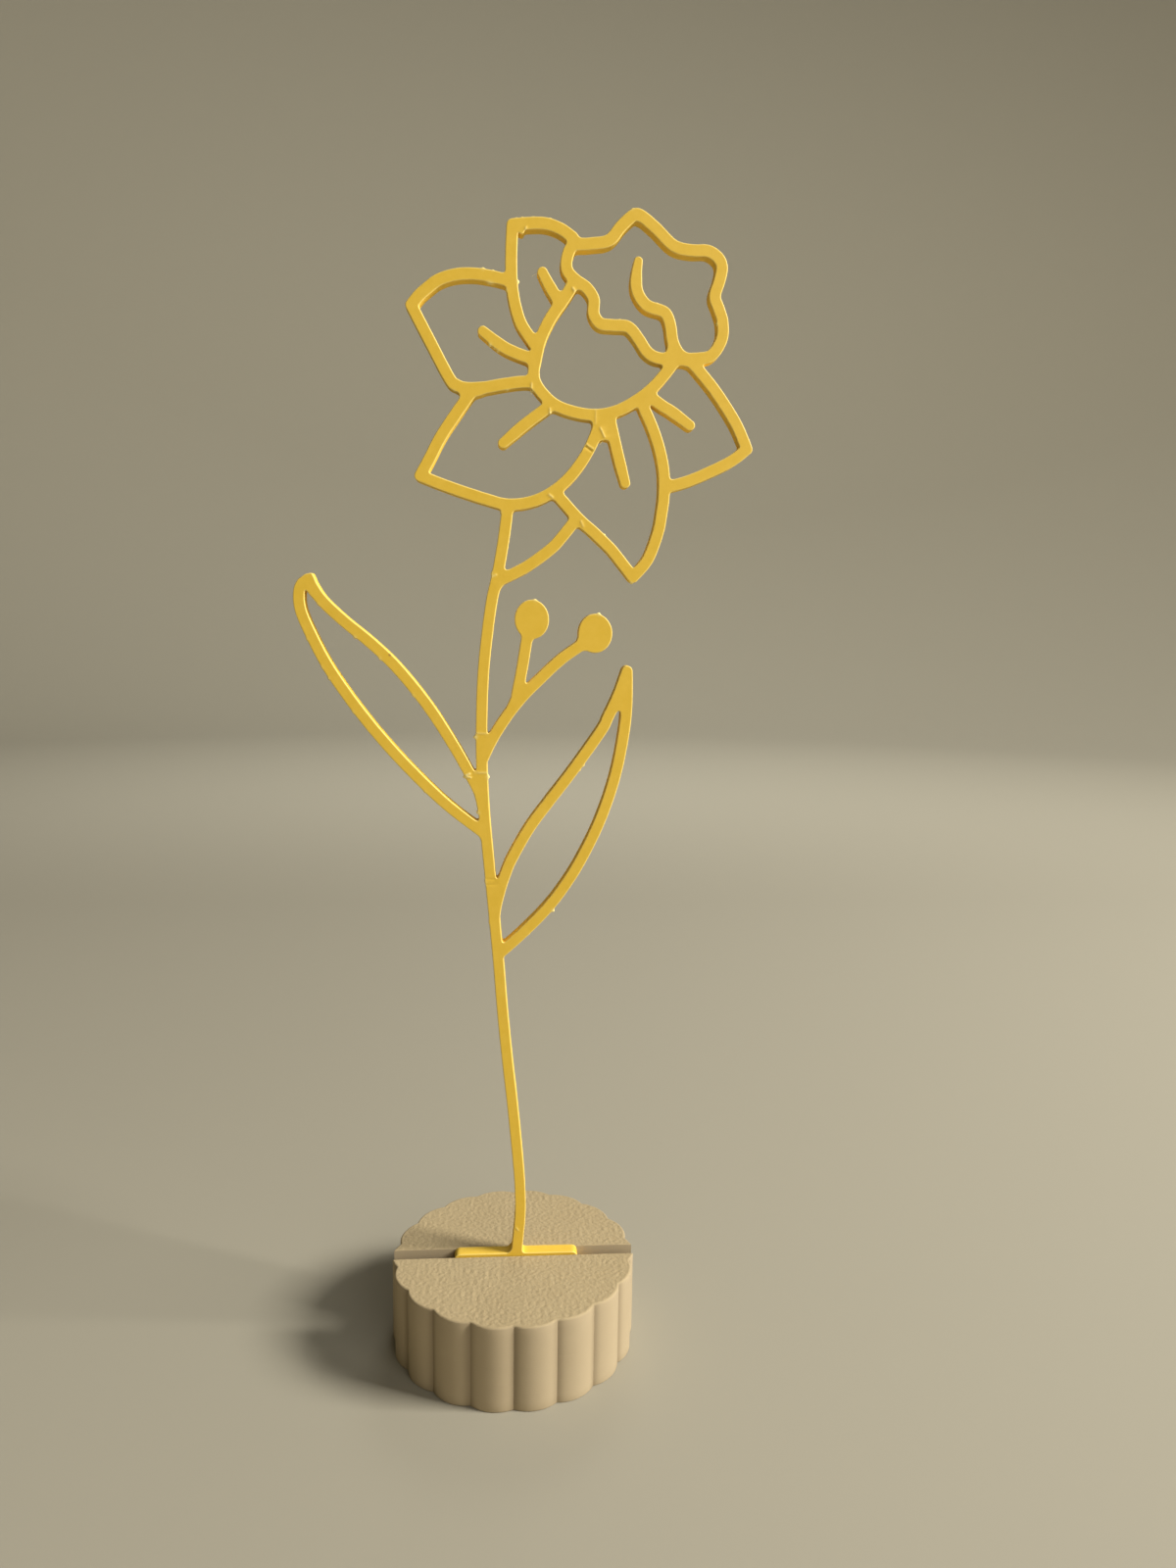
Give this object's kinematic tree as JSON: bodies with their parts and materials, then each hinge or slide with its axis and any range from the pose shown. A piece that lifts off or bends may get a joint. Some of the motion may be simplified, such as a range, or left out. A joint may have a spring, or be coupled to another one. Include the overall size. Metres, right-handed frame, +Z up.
{
  "type": "outline flower ornament on stand",
  "caption": "Flat outline daffodil with leaves and berries, standing on its foot bar in a slot across a round scalloped stand. A small table ornament.",
  "frame": {"origin": "centre of the stand's flat underside", "axes": "+Z up along the stem, +X to the viewer's right along the slot, +Y away from the viewer"},
  "size_m": [0.0852, 0.0492, 0.2206],
  "materials": {
    "yellow_plastic": "satin printed plastic with fine layer lines on the edges",
    "beige_plastic": "matte printed plastic, fine grain on top, faint layer lines on the sides"
  },
  "bodies": {
    "root": {"daffodil_outline": "yellow_plastic", "scalloped_stand": "beige_plastic"}
  },
  "joints": []
}
